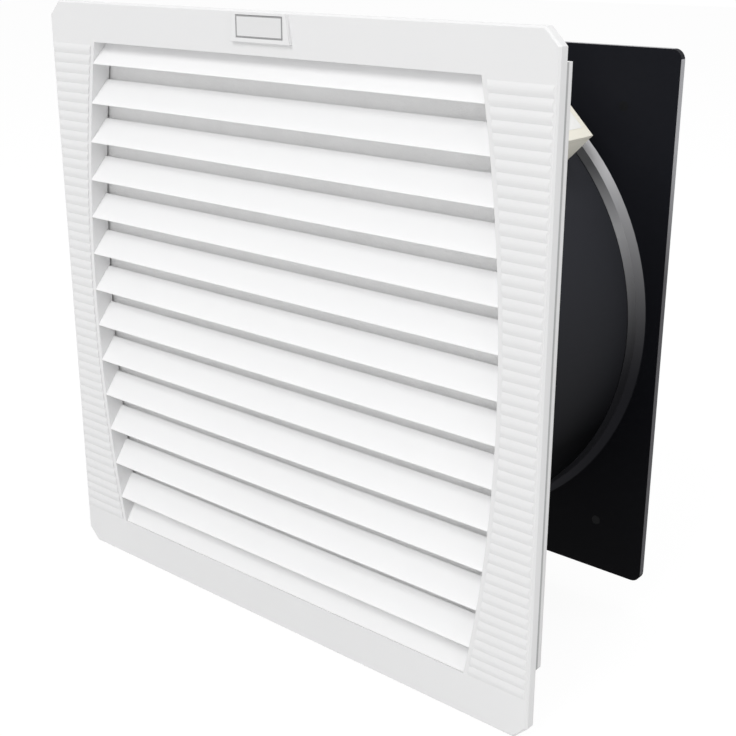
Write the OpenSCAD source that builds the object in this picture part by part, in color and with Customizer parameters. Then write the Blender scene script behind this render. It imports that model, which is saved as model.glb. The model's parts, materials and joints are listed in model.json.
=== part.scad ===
/* [Panel cut-out] */
// Side of the square hole in the cabinet panel that the fan goes into
cutout_side = 292; // [288:0.5:294]
// Gap between the hole and the frame body, on each side
cutout_gap = 1; // [0.5:0.25:1.5]
// Thickest panel that the spring clips can hold
panel_t_max = 2.5; // [1:0.5:3]

/* [Front cover] */
// How far the cover reaches past the edge of the cut-out
cover_border = 15.5; // [14:0.5:19]
// Leg of the cut at each corner of the cover
corner_cut = 7.5; // [4:0.5:12]
// Thickness of the cover's front skin
skin_t = 2; // [1.6:0.1:2.6]
// Depth of the cover's skirt, from the front face to its rear edge
skirt_depth = 5.2; // [4.8:0.1:6]
// Wall of the skirt
skirt_wall = 2; // [1.5:0.1:2.4]
// Bevel along the cover's front edge
edge_bevel = 0.9; // [0.4:0.1:1.4]
// Angle that the open cover reaches
cover_open_angle = 90; // [60:5:90]

/* [Louvre] */
// Number of whole slats
slat_count = 13; // [8:1:16]
// Thickness of a slat, square to its face
slat_t = 1.8; // [1.2:0.1:2.4]
// Depth of a slat from front to back
slat_depth = 10; // [7:0.5:10.5]
// Height of a slat's front edge
slat_nose = 0.6; // [0.4:0.1:1.2]
// Slope of a slat above the horizontal
slat_angle = 50; // [40:1:55]
// Height of the window's sill above the foot of the frame body
window_sill = 2; // [1:0.5:6]
// How far the window's sides bow outwards at mid height
window_bow = 13.5; // [4:0.5:18]
// Wall round the window that carries the slats
louvre_wall = 1.2; // [1:0.1:1.6]
// Depth of that wall behind the front face
louvre_depth = 11; // [10.6:0.2:11.6]
// Height of the decorative ribs on the side bands
rib_h = 0.75; // [0.3:0.05:1]
// Number of ribs on each side band
rib_count = 53; // [30:1:56]

/* [Label and grip] */
// Width of the grip boss at its foot
grip_w = 39; // [34:1:60]
// Height of the grip boss
grip_h = 13.4; // [11:0.2:13.6]
// How far the grip boss stands out
grip_out = 1.9; // [1:0.1:3]
// Width of the blank label
label_w = 30; // [20:1:32]
// Height of the blank label
label_h = 10; // [6:0.5:10.5]

/* [Base frame] */
// Depth of the frame body behind the panel
body_depth = 29; // [26:0.5:36]
// Side wall of the frame body
body_wall = 2.4; // [2:0.1:3]
// Thickness of the flange that lies on the panel
flange_t = 2.5; // [2:0.1:2.6]
// Thickness of the pressed panel gasket
gasket_t = 2; // [1:0.25:3]
// Thickness of the frame's rear wall
rear_wall_t = 3.6; // [3:0.2:5]
// Thickness of the grid that holds the filter mat
grid_t = 3; // [2:0.25:4]
// Thickness of the filter mat
mat_t = 18; // [10:0.5:18]

/* [Fan housing] */
// Sheet thickness of the fan tunnel
tunnel_wall = 1.5; // [1:0.1:2]
// Length of the fan tunnel behind the frame, up to the rear plate
tunnel_len = 102.5; // [96:0.5:115]
// Thickness of the rear plate
plate_t = 3.8; // [2:0.1:5]
// How far the plate's collar flares beyond the tunnel
collar_w = 6.3; // [4:0.1:8]
// Length of the plate's collar along the tunnel
collar_len = 8.2; // [6:0.2:12]

/* [Motor and impeller] */
// Running gap between the blade tips and the fan tunnel
blade_tip_gap = 2.3; // [1.5:0.1:6]
// Outer radius of the motor's rotor can
can_r = 43; // [38:0.5:50]
// Length of the rotor can
can_len = 56; // [52:1:62]
// Radius of the motor shaft
shaft_r = 4; // [3:0.25:5]
// Number of blades
blade_count = 7; // [5:1:9]
// Chord of a blade at the tip
blade_chord = 84; // [60:1:90]

/* [Finger guard] */
// Number of wire rings in the rear guard
guard_ring_count = 8; // [5:1:10]
// Wire diameter of the guard
guard_wire = 2.5; // [2:0.25:3]
// Thickness of the flat bars that carry motor and guard
bar_t = 3; // [2:0.25:4]
// Width of those flat bars
bar_w = 10; // [8:0.5:14]

/* [Terminal box] */
// Width of the terminal box across the tunnel
box_w = 36; // [34:0.5:44]
// Length of the terminal box along the tunnel
box_len = 45; // [42:0.5:56]
// Height of the terminal box above the tunnel, lid and all
box_h = 19.9; // [18:0.1:24]
// Wall of the terminal box
box_wall = 2; // [1.5:0.1:2.4]
// Radius of the bore that the mains cable goes through
gland_bore_r = 3.2; // [2.5:0.1:3.4]
// Angle that the open terminal lid reaches
lid_open_angle = 100; // [60:5:110]

/* [Hidden] */

// Overrun of every cut past the face that it opens
cut = 1;
// Gap between flat pieces on different bodies
body_gap = 0.3;
// Radial clearance of the running fits
run_gap = 0.04;
// Number of facets of round pieces, by size
fn_big = 120;
fn_mid = 64;
fn_small = 32;

// Stations along the depth: y = 0 is the front of the panel, +Y goes into the cabinet
cover_side = cutout_side + 2 * cover_border;
cover_half = cover_side / 2;
nest_gap = 1.2;
front_y = -(gasket_t + flange_t + nest_gap + skin_t);
skin_rear_y = front_y + skin_t;
skirt_rear_y = front_y + skirt_depth;
flange_front_y = -gasket_t - flange_t;
body_rear_y = body_depth;
rear_wall_y = body_rear_y - rear_wall_t;
grid_y = rear_wall_y - grid_t;
mat_gap = 0.2;
mat_y = grid_y - mat_gap - mat_t;
plate_y = body_rear_y + tunnel_len;
plate_rear_y = plate_y + plate_t;
guard_rear_y = plate_rear_y + bar_t;

// Frame body and flange
body_half = cutout_side / 2 - cutout_gap;
body_inner = body_half - body_wall;
skirt_inner = cover_half - skirt_wall;
skirt_gap = 0.8;
flange_half = skirt_inner - skirt_gap;

// Hinge at the foot of the cover
lug_r = 1.5;
hinge_pin_r = 0.8;
lug_floor_gap = 0.7;
hinge_y = skin_rear_y + body_gap + lug_r;
hinge_z = -(cover_half - lug_r - lug_floor_gap);
knuckle_r = 2.9;
flange_foot_gap = 0.8;
flange_foot = -(hinge_z + knuckle_r + flange_foot_gap);
lug_w = 8;
lug_side_gap = 0.5;
knuckle_w = 7;
knuckle_h = 4;
hinge_x_share = 0.62;
hinge_x = cover_half * hinge_x_share;

// Window and slats: the shares are parts of a slat pitch above the first and below the last slat
louvre_gap = 0.4;
top_gap_share = 0.515;
foot_gap_share = 0.735;
window_top = body_inner - louvre_gap - louvre_wall;
window_foot = -(window_top - window_sill);
window_mid = (window_top + window_foot) / 2;
window_h = window_top - window_foot;
side_inset = 2.7;
window_half = window_top - side_inset;
bow_r = (window_h * window_h / 4 + window_bow * window_bow) / (2 * window_bow);
bow_steps = 20;
slat_pitch = window_h / (slat_count - 1 + top_gap_share + foot_gap_share);
slat_rise = slat_depth * tan(slat_angle);
slat_drop = slat_t / cos(slat_angle);
last_slat_drop = 1;
rib_foot_gap = 0.3;
rib_top_gap = 1.6;
rib_pitch = (window_h - rib_foot_gap - rib_top_gap) / rib_count;
rib_steps = 6;
rib_margin = 2.5;
rib_edge = 1.6;

// Grip boss and label
grip_taper = 4.4;
grip_edge = 0.1;
grip_top_w = grip_w - grip_taper;
grip_top_z = cover_half - edge_bevel - grip_edge;
label_t = 0.8;
label_gap = 0.25;
label_drop = 1.2;

// Snap bumps inside the top of the skirt
bump_w = 14;
bump_out = 0.5;
bump_y_share = 0.3;

// Gasket
gasket_clear = 0.5;
gasket_inset = 1;
gasket_inner = body_half + cutout_gap + gasket_clear;
gasket_outer = flange_foot - gasket_inset;

// Spring clips on the frame body
clip_t = 0.8;
clip_w = 22;
clip_out = 3.4;
clip_foot_len = 7;
clip_peak_gap = 3;
clip_tip_gap = 0.6;
clip_tip_out = 1.5;
clip_leaf_len = 8;
clip_place_share = 0.5;
clip_peak_y = panel_t_max + clip_peak_gap;
clip_foot_y = clip_peak_y + clip_leaf_len;
clip_hole_y = clip_foot_y + clip_foot_len / 2;
clip_screw_r = 1.4;
clip_head_r = 2.6;
clip_head_h = 1.4;
clip_place = body_half * clip_place_share;

// Support grid
grid_bar = 2;
grid_cells = 12;
grid_rim = 6;
grid_side_gap = 0.3;
mat_side_gap = 0.6;

// Fan tunnel
tunnel_r_share = 0.889655;
tunnel_r = body_half * tunnel_r_share;
inlet_lip = 1.5;
tunnel_inner = tunnel_r - tunnel_wall;
inlet_r = tunnel_inner - inlet_lip;
flange_ring_w = 11;
tunnel_flange_r = tunnel_r + flange_ring_w;
tunnel_screw_count = 8;
tunnel_screw_angle = 22.5;
tunnel_screw_pcr = tunnel_r + flange_ring_w / 2;
screw_r = 1.9;
screw_head_r = 3.6;
screw_head_h = 2.2;
screw_gap = 0.15;
drive_r_share = 0.5;
drive_depth_share = 0.6;

// Rear plate
plate_half_share = 0.987586;
plate_half = body_half * plate_half_share;
plate_corner = 5.5;
plate_corner_steps = 6;
collar_seat = 2;
collar_mid_w_share = 0.32;
collar_mid_y_share = 0.34;
guard_stud_inset = 29.2;
guard_stud_x = plate_half - guard_stud_inset;
guard_stud_r = 2.5;
guard_stud_end = 0.6;
guard_nut_r = 4.6;
guard_nut_h = 2.7;
bar_end_r = 8;

// Finger guard rings
guard_hub_r = 26;
guard_wire_gap = 0.05;
guard_outer_r = tunnel_inner - guard_wire / 2;
guard_inner_r = guard_hub_r + guard_wire * 4;
guard_ring_step = (guard_outer_r - guard_inner_r) / (guard_ring_count - 1);

// Motor, from the spider backwards
spider_gap_share = 0.146341;
spider_gap = tunnel_len * spider_gap_share;
spider_y = body_rear_y + spider_gap;
spider_rim = 5;
spider_hub_r = can_r + spider_rim;
spider_seat_gap = 0.2;
spider_tab_len = 13;
spider_screw_y = spider_y + (spider_tab_len + bar_t) / 2;
spider_screw_r = 2.5;
spider_head_r = 4.5;
spider_head_h = 3;
motor_y = spider_y + bar_t;
motor_flange_t = 4;
motor_flange_rim = 1;
motor_flange_r = can_r + motor_flange_rim;
motor_screw_share = 0.72;
motor_screw_pcr = can_r * motor_screw_share;
motor_screw_r = 2;
motor_head_r = 3.5;
motor_head_h = 2.4;
can_gap = 6;
can_y = motor_y + motor_flange_t + can_gap;
can_rear_y = can_y + can_len;
can_wall = 3;
can_round = 4;
air_gap = 0.6;
cage_t = 5;
cage_r = can_r - can_wall;
core_r = cage_r - cage_t - air_gap;
bearing_ring_t = 5;
bearing_r = shaft_r + bearing_ring_t;
bearing_w = 7;
tube_wall = 2;
tube_r = bearing_r + tube_wall;
tube_end_gap = 9;
tube_rear_y = can_rear_y - can_wall - tube_end_gap;
hub_boss_len = 5;
hub_boss_wall = 4;
hub_boss_r = shaft_r + hub_boss_wall;
core_len_share = 0.5;
core_len = can_len * core_len_share;
core_slots = 12;
slot_w = 3;
slot_depth_share = 0.55;
winding_len = 7;
winding_inset = 2;
clip_ring_t = 1;
clip_ring_w = 2.4;
clip_ring_r = shaft_r + clip_ring_w;
shaft_end = 2.5;
bearing_inset = 1;
front_bearing_y = motor_y + motor_flange_t + bearing_inset;
rear_bearing_y = tube_rear_y - bearing_inset - bearing_w;

// Impeller blades: stations along the span, each a curved and turned plate
hub_t = 3;
hub_r = can_r + hub_t;
hub_inset = 6;
hub_y = can_y + hub_inset;
hub_len = can_len - 2 * hub_inset;
blade_root_gap = 0.35;
blade_root_r = hub_r + blade_root_gap;
impeller_r = tunnel_inner - blade_tip_gap;
blade_t = 2.2;
blade_span_steps = 8;
blade_chord_steps = 8;
blade_root_angle = 48;
blade_tip_angle = 26;
blade_root_chord_share = 0.62;
blade_root_chord = blade_chord * blade_root_chord_share;
blade_camber_share = 0.08;
blade_sweep_angle = 26;
blade_mid_y = hub_y + hub_len / 2;

// Terminal box: its own frame stands on the tunnel at this angle from the top, towards +X
box_angle = 45;
box_edge_x = 5.6;
box_x = box_edge_x - box_w;
box_place_share = 0.449541;
box_front_limit = spider_screw_y + spider_head_r;
box_rear_limit = plate_y - collar_len;
box_y = box_front_limit + (box_rear_limit - box_front_limit - box_len) * box_place_share;
box_top_z = tunnel_r + box_h;
lid_t = 2.2;
lid_z = box_top_z - lid_t;
box_rim_z = lid_z - body_gap;
box_floor_t = 3;
box_floor_z = tunnel_r + box_floor_t;
lid_pin_r = 1.2;
lid_eye_r = 2.4;
lid_eye_w = 6;
lid_eye_gap = 0.4;
lid_eye_share = 0.2;
lid_pin_x = box_x - lid_eye_r - body_gap;
lid_pin_z = box_top_z - lid_eye_r;
label_plate_t = 0.4;
label_rear_gap = 4;
label_side_gap = 5.6;
pole_count = 4;
block_w = 20;
block_len = 30;
block_h = 9;
block_base_h = 5;
pole_pitch_share = 0.22;
terminal_screw_r = 1.6;
terminal_head_r = 2.4;
terminal_head_h = 1.2;
terminal_slot_w = 0.7;
box_screw_r = 1.6;
box_screw_head_r = 2.8;
box_screw_head_h = 1.4;
box_screw_inset = 3.6;
gland_r = 6;
gland_len = 8;
gland_y_share = 0.375;
gland_y = box_y + box_len * gland_y_share;
gland_thread_r = 4.8;
gland_floor_gap = 0.5;
gland_z = box_floor_z + gland_thread_r + gland_floor_gap;
gland_nut_len = 9;
gland_nut_r = 6.6;
lead_x = 0;

// Cables: the routes' points are worked out from the pieces that they join
cable_r = 2.2;
cable_sides = 10;
cable_gap = 0.3;
grommet_r = 4.6;
grommet_t = 4.5;
grommet_lip = 1.4;
lead_bar_gap = 1;
lead_hole_y = spider_y - grommet_r - lead_bar_gap;
lead_hole_gap = 1.1;
lead_in_r = tube_r + cable_r + 2 * cable_gap;
cable_run_r = box_floor_z + cable_r + cable_gap;
cable_bar_y = spider_y - cable_r - cable_gap;
bend_r = 5;
bend_steps = 5;
lead_straight = 30;
lead_hole_straight = 10;

// Run capacitor on the other side of the tunnel
cap_r = 15;
cap_len = 50;
cap_gap = 2;
cap_angle = -20;
cap_frame_gap = 7;
cap_y = body_rear_y + cap_frame_gap;
cap_z = tunnel_r + cap_gap + cap_r;
cap_crimp = 0.8;
strap_t = 1.2;
strap_w = 12;
cap_lead_y_share = 0.7045;
cap_lead_y = box_y + box_len * cap_lead_y_share;
cap_lead_r = tunnel_r + cable_r + cable_gap;
cap_lead_out = 16;
cap_lead_start_angle = 20;
cap_lead_end_angle = -33;

// Extrudes a shape drawn in X and Z from y0 along +Y
module y_extrude(y0, len) {
    translate([0, y0 + len, 0]) rotate([90, 0, 0]) linear_extrude(len) children();
}

// Cylinder along +Y
module y_rod(r, y0, len, facets = fn_small) {
    translate([0, y0, 0]) rotate([-90, 0, 0]) cylinder(h = len, r = r, $fn = facets);
}

// Screw head along +Z with a hexagon socket
module screw_head(r, h) {
    difference() {
        cylinder(h = h, r = r, $fn = fn_small);
        translate([0, 0, h * (1 - drive_depth_share)]) cylinder(h = h, r = r * drive_r_share, $fn = 6);
    }
}

// Ring along +Y
module y_ring(outer_r, inner_r, y0, len, facets = fn_mid) {
    difference() {
        y_rod(outer_r, y0, len, facets);
        y_rod(inner_r, y0 - cut, len + 2 * cut, facets);
    }
}

// Square outline with equal corner cuts
module cut_square(half, leg) {
    polygon([
        [half - leg, -half], [half, leg - half], [half, half - leg], [half - leg, half],
        [leg - half, half], [-half, half - leg], [-half, leg - half], [leg - half, -half]]);
}

// Prism whose front edges along X are bevelled, one of the four that bound the cover
module bevelled_prism(half, turn, depth) {
    rotate([0, turn, 0])
        translate([0, 0, -cover_side])
            linear_extrude(2 * cover_side)
                polygon([
                    [edge_bevel - half, front_y], [half - edge_bevel, front_y],
                    [half, front_y + edge_bevel], [half, front_y + depth],
                    [-half, front_y + depth], [-half, front_y + edge_bevel]]);
}

// Half width of the window at height z, less or more by a margin
function bow_half(z, margin = 0) =
    window_half - bow_r + sqrt(bow_r * bow_r - pow(z - window_mid, 2)) + margin;

// Window outline, wider by a margin all round
function window_points(margin) = [
    for (side = [1, -1])
        for (i = [0 : bow_steps])
            let (z = window_mid - side * (window_h / 2) * (1 - 2 * i / bow_steps))
                [side * bow_half(z, margin),
                 z + (i == 0 ? -side * margin : i == bow_steps ? side * margin : 0)]];

module window_prism(margin, y0, len) {
    y_extrude(y0, len) polygon(window_points(margin));
}

// Outline of the rib band on the right: its inner side follows the window
function band_points() = concat(
    [for (i = [0 : bow_steps])
        let (z = window_mid - (window_h / 2) * (1 - 2 * i / bow_steps)) [bow_half(z, rib_margin), z]],
    [[cover_half, window_top], [cover_half, window_foot]]);

// Row of rounded ribs in section, Y against Z
function rib_points() =
    let (foot = window_foot + rib_foot_gap, seat_y = front_y + skin_t / 2)
        concat(
            [for (n = [0 : rib_count - 1], i = [0 : rib_steps - 1])
                [front_y - rib_h * sin(180 * i / rib_steps), foot + (n + i / rib_steps) * rib_pitch]],
            [[front_y, foot + rib_count * rib_pitch],
             [seat_y, foot + rib_count * rib_pitch],
             [seat_y, foot]]);

// The ribs' outer ends slope down to the front face
module rib_band(side) {
    end_x = cover_half - rib_edge;
    intersection() {
        mirror([side > 0 ? 0 : 1, 0, 0])
            intersection() {
                y_extrude(front_y - rib_h - cut, skin_t + rib_h + cut) polygon(band_points());
                translate([0, 0, -cover_half])
                    linear_extrude(cover_side)
                        polygon([
                            [0, front_y - 2 * rib_h], [end_x - 2 * rib_h, front_y - 2 * rib_h],
                            [end_x, front_y], [end_x, skin_rear_y], [0, skin_rear_y]]);
            }
        translate([-cover_half, 0, 0])
            rotate([90, 0, 90]) linear_extrude(cover_side) polygon(rib_points());
    }
}

// Grip boss with the seat of the label
module grip_boss() {
    translate([0, 0, grip_top_z - grip_h])
        y_extrude(front_y - grip_out, grip_out + skin_t / 2)
            polygon([
                [-grip_w / 2, 0], [grip_w / 2, 0],
                [grip_top_w / 2, grip_h], [-grip_top_w / 2, grip_h]]);
}

module label_block(gap, y0, len) {
    translate([-label_w / 2 - gap, y0, grip_top_z - label_drop - label_h - gap])
        cube([label_w + 2 * gap, len, label_h + 2 * gap]);
}

// The two places of the hinge lugs along X
module at_hinges() {
    for (side = [-1, 1]) translate([side * hinge_x, 0, 0]) children();
}

module hinge_rod(r, len) {
    translate([-len / 2, hinge_y, hinge_z]) rotate([0, 90, 0]) cylinder(h = len, r = r, $fn = fn_small);
}

module cover() {
    slot_w_x = lug_w + 2 * lug_side_gap;
    color("#e9ebeb")
    difference() {
        union() {
            difference() {
                intersection() {
                    bevelled_prism(cover_half, 0, skirt_depth);
                    bevelled_prism(cover_half, 90, skirt_depth);
                    bevelled_prism((cover_side - corner_cut) / sqrt(2), 45, skirt_depth);
                    bevelled_prism((cover_side - corner_cut) / sqrt(2), 135, skirt_depth);
                }
                y_extrude(skin_rear_y, skirt_depth) cut_square(skirt_inner, corner_cut);
            }
            window_prism(louvre_wall, front_y + edge_bevel, louvre_depth - edge_bevel);
            rib_band(1);
            rib_band(-1);
            grip_boss();
            at_hinges()
                translate([
                    -slot_w_x / 2 - knuckle_w,
                    skin_rear_y - skin_t / 2,
                    -cover_half + skirt_wall / 2])
                    cube([slot_w_x + 2 * knuckle_w, skirt_depth - skin_t / 2, knuckle_h - skirt_wall / 2]);
            for (side = [-1, 1])
                translate([
                    side * hinge_x - bump_w / 2,
                    skin_rear_y + skirt_depth * bump_y_share,
                    skirt_inner - bump_out])
                    cube([bump_w, bump_out * 2, bump_out * 2]);
        }
        window_prism(0, front_y - grip_out - cut, louvre_depth + grip_out + 2 * cut);
        label_block(label_gap, front_y - grip_out - cut, cut + label_t);
        at_hinges() {
            translate([-slot_w_x / 2, skin_rear_y, -cover_half - cut])
                cube([slot_w_x, skirt_depth, knuckle_h + 2 * cut]);
            hinge_rod(hinge_pin_r, slot_w_x + 2 * knuckle_w - skirt_wall);
        }
    }
}

module louvre_slats() {
    color("#f4f5f6")
    intersection() {
        window_prism(0, front_y, louvre_depth);
        union() {
            for (i = [0 : slat_count]) {
                whole_z = window_top - (top_gap_share + i) * slat_pitch;
                z = i < slat_count ? whole_z : window_foot - last_slat_drop;
                translate([-cover_half, front_y, z])
                    rotate([90, 0, 90])
                        linear_extrude(cover_side)
                            polygon([
                                [0, 0], [slat_depth, slat_rise],
                                [slat_depth, slat_rise - slat_drop], [0, -slat_nose]]);
            }
        }
    }
}

module blank_label() {
    color("#dfe2e3") label_block(0, front_y - grip_out, label_t);
}

module hinge_pins() {
    color("#9aa0a4")
    at_hinges() hinge_rod(hinge_pin_r, lug_w + 2 * lug_side_gap + 2 * knuckle_w - skirt_wall);
}

module base_frame() {
    color("#eef0f0")
    difference() {
        union() {
            y_extrude(flange_front_y, flange_t)
                polygon([
                    [corner_cut - flange_half, -flange_foot], [flange_half - corner_cut, -flange_foot],
                    [flange_half, corner_cut - flange_foot],
                    [flange_half, flange_half - corner_cut], [flange_half - corner_cut, flange_half],
                    [corner_cut - flange_half, flange_half], [-flange_half, flange_half - corner_cut],
                    [-flange_half, corner_cut - flange_foot]]);
            y_extrude(flange_front_y + flange_t / 2, body_rear_y - flange_front_y - flange_t / 2)
                square(2 * body_half, center = true);
            at_hinges() {
                hinge_rod(lug_r, lug_w);
                translate([-lug_w / 2, hinge_y - lug_r, hinge_z])
                    cube([lug_w, 2 * lug_r, -flange_foot - hinge_z + cut]);
            }
        }
        y_extrude(flange_front_y - cut, rear_wall_y - flange_front_y + cut)
            square(2 * body_inner, center = true);
        y_rod(inlet_r, rear_wall_y - cut, rear_wall_t + 2 * cut, fn_big);
        at_hinges() hinge_rod(hinge_pin_r + run_gap, lug_w + 2 * cut);
        at_tunnel_screws() y_rod(screw_r, rear_wall_y - cut, rear_wall_t + 2 * cut);
        at_clips()
            translate([body_half - body_wall - cut, clip_hole_y, 0])
                rotate([0, 90, 0]) cylinder(h = body_wall + 2 * cut, r = clip_screw_r, $fn = fn_small);
    }
}

module panel_gasket() {
    color("#2b2c2e")
    y_extrude(-gasket_t, gasket_t)
        difference() {
            square(2 * gasket_outer, center = true);
            square(2 * gasket_inner, center = true);
        }
}

// Two clips on each of the four sides of the frame body
module at_clips() {
    for (turn = [0 : 90 : 270], place = [-1, 1])
        rotate([0, turn, 0]) translate([0, 0, place * clip_place]) children();
}

module panel_clips() {
    foot_end_y = clip_foot_y + clip_foot_len;
    tip_y = panel_t_max + clip_tip_gap;
    color("#b9bcc0")
    at_clips()
        difference() {
            translate([body_half, 0, -clip_w / 2])
                linear_extrude(clip_w)
                    polygon([
                        [0, foot_end_y], [0, clip_foot_y], [clip_out - clip_t, clip_peak_y],
                        [clip_tip_out - clip_t, tip_y], [clip_tip_out, tip_y - clip_tip_gap / 2],
                        [clip_out, clip_peak_y], [clip_t, clip_foot_y], [clip_t, foot_end_y]]);
            translate([body_half - cut, clip_hole_y, 0])
                rotate([0, 90, 0])
                    cylinder(h = clip_t + 2 * cut, r = clip_screw_r + screw_gap, $fn = fn_small);
        }
}

module clip_screws() {
    color("#a7abb0")
    at_clips()
        translate([body_inner + body_gap, clip_hole_y, 0])
            rotate([0, 90, 0]) {
                cylinder(h = body_wall + clip_t, r = clip_screw_r, $fn = fn_small);
                translate([0, 0, body_wall - body_gap + clip_t]) screw_head(clip_head_r, clip_head_h);
            }
}

module support_grid() {
    half = body_inner - grid_side_gap;
    pitch = 2 * (half - grid_rim) / grid_cells;
    color("#dfe1e2")
    y_extrude(grid_y, grid_t)
        difference() {
            square(2 * half, center = true);
            for (i = [0 : grid_cells - 1], j = [0 : grid_cells - 1])
                translate([
                    (i - (grid_cells - 1) / 2) * pitch,
                    (j - (grid_cells - 1) / 2) * pitch])
                    square(pitch - grid_bar, center = true);
        }
}

module filter_mat() {
    half = body_inner - mat_side_gap;
    color("#f3f3f0") y_extrude(mat_y, mat_t) square(2 * half, center = true);
}

module at_tunnel_screws() {
    for (i = [0 : tunnel_screw_count - 1])
        rotate([0, tunnel_screw_angle + i * 360 / tunnel_screw_count, 0])
            translate([tunnel_screw_pcr, 0, 0]) children();
}

// The four bars of the spider lie at these turns
module at_bars() {
    for (turn = [45 : 90 : 315]) rotate([0, turn, 0]) children();
}

module fan_tunnel() {
    color("#1d1f22")
    difference() {
        union() {
            y_rod(tunnel_r, body_rear_y, tunnel_len + plate_t - collar_seat, fn_big);
            y_rod(tunnel_flange_r, body_rear_y, tunnel_wall, fn_big);
        }
        y_rod(tunnel_inner, body_rear_y - cut, tunnel_len + plate_t + 2 * cut, fn_big);
        at_tunnel_screws() y_rod(screw_r + screw_gap, body_rear_y - cut, tunnel_wall + 2 * cut);
        at_bars()
            translate([0, spider_screw_y, tunnel_inner - cut])
                cylinder(h = tunnel_wall + 2 * cut, r = spider_screw_r + screw_gap, $fn = fn_small);
        rotate([0, box_angle, 0]) {
            translate([lead_x, lead_hole_y, tunnel_inner - cut])
                cylinder(h = tunnel_wall + 2 * cut, r = grommet_r, $fn = fn_small);
            at_box_screws() translate([0, 0, tunnel_inner - cut])
                cylinder(h = tunnel_wall + 2 * cut, r = box_screw_r, $fn = fn_small);
        }
    }
}

module tunnel_screws() {
    color("#2a2c30")
    at_tunnel_screws() {
        y_rod(screw_r, rear_wall_y + body_gap, rear_wall_t + tunnel_wall);
        translate([0, body_rear_y + tunnel_wall, 0])
            rotate([-90, 0, 0]) screw_head(screw_head_r, screw_head_h);
    }
}

// Flared collar in section, radius against distance from the plate's front face
module collar_section() {
    polygon([
        [tunnel_r, cut], [tunnel_r, -collar_len],
        [tunnel_r + collar_w * collar_mid_w_share / 4, -collar_len],
        [tunnel_r + collar_w * collar_mid_w_share, -collar_len * collar_mid_y_share],
        [tunnel_r + collar_w, 0], [tunnel_r + collar_w, cut]]);
}

// Square outline with rounded corners
function rounded_square(half, r, steps) = [
    for (turn = [0 : 90 : 270], i = [0 : steps])
        let (a = turn + 90 * i / steps, c = half - r)
            [(turn == 90 || turn == 180 ? -c : c) + r * cos(a), (turn < 180 ? c : -c) + r * sin(a)]];

module rear_plate() {
    color("#17181a")
    difference() {
        union() {
            y_extrude(plate_y, plate_t)
                polygon(rounded_square(plate_half, plate_corner, plate_corner_steps));
            translate([0, plate_y, 0])
                rotate([-90, 0, 0]) rotate_extrude($fn = fn_big) collar_section();
        }
        y_rod(tunnel_r, plate_y - collar_len - cut, collar_len + plate_t - collar_seat + cut, fn_big);
        y_rod(tunnel_inner, plate_y - cut, plate_t + 2 * cut, fn_big);
        at_guard_studs() y_rod(guard_stud_r, plate_y - cut, plate_t + 2 * cut);
    }
}

module at_guard_studs() {
    for (sx = [-1, 1], sz = [-1, 1]) translate([sx * guard_stud_x, 0, sz * guard_stud_x]) children();
}

module guard_bars() {
    reach = guard_stud_x * sqrt(2);
    color("#1b1c1e")
    difference() {
        union() {
            y_rod(guard_hub_r, plate_rear_y, bar_t, fn_mid);
            at_bars()
                translate([-bar_w / 2, plate_rear_y, 0]) cube([bar_w, bar_t, reach]);
            at_guard_studs() y_rod(bar_end_r, plate_rear_y, bar_t);
        }
        at_guard_studs() y_rod(guard_stud_r + screw_gap, plate_rear_y - cut, bar_t + 2 * cut);
    }
}

module guard_rings() {
    color("#202123")
    for (i = [0 : guard_ring_count - 1])
        translate([0, guard_rear_y + guard_wire_gap + guard_wire / 2, 0])
            rotate([-90, 0, 0])
                rotate_extrude($fn = fn_big)
                    translate([guard_inner_r + i * guard_ring_step, 0])
                        circle(d = guard_wire, $fn = 16);
}

// Studs pressed into the plate, flush with its front
module guard_studs() {
    color("#303236")
    at_guard_studs() y_rod(guard_stud_r, plate_y, plate_t + bar_t + guard_nut_h + guard_stud_end);
}

module guard_nuts() {
    color("#a6aaae")
    at_guard_studs()
        difference() {
            y_rod(guard_nut_r, guard_rear_y, guard_nut_h, 6);
            y_rod(guard_stud_r, guard_rear_y - cut, guard_nut_h + 2 * cut);
        }
}

// Hole in spider and flange that the motor cable comes out of
module at_motor_lead() {
    rotate([0, box_angle, 0]) translate([lead_x, 0, lead_in_r]) children();
}

module motor_spider() {
    reach = tunnel_inner - spider_seat_gap;
    color("#26282b")
    difference() {
        union() {
            y_rod(spider_hub_r, spider_y, bar_t, fn_mid);
            at_bars() {
                translate([-bar_w / 2, spider_y, 0]) cube([bar_w, bar_t, reach]);
                translate([-bar_w / 2, spider_y, reach - bar_t])
                    cube([bar_w, spider_tab_len, bar_t]);
            }
        }
        at_bars()
            translate([0, spider_screw_y, reach - bar_t - cut])
                cylinder(h = bar_t + 2 * cut, r = spider_screw_r, $fn = fn_small);
        at_motor_screws() y_rod(motor_screw_r + screw_gap, spider_y - cut, bar_t + 2 * cut);
        at_motor_lead() y_rod(cable_r + lead_hole_gap, spider_y - cut, bar_t + 2 * cut);
    }
}

module spider_screws() {
    reach = tunnel_inner - spider_seat_gap;
    color("#2a2c30")
    at_bars()
        translate([0, spider_screw_y, reach - bar_t]) {
            cylinder(h = bar_t + spider_seat_gap + tunnel_wall, r = spider_screw_r, $fn = fn_small);
            translate([0, 0, bar_t + spider_seat_gap + tunnel_wall]) screw_head(spider_head_r, spider_head_h);
        }
}

module at_motor_screws() {
    for (turn = [0 : 90 : 270]) rotate([0, turn, 0]) translate([motor_screw_pcr, 0, 0]) children();
}

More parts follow.
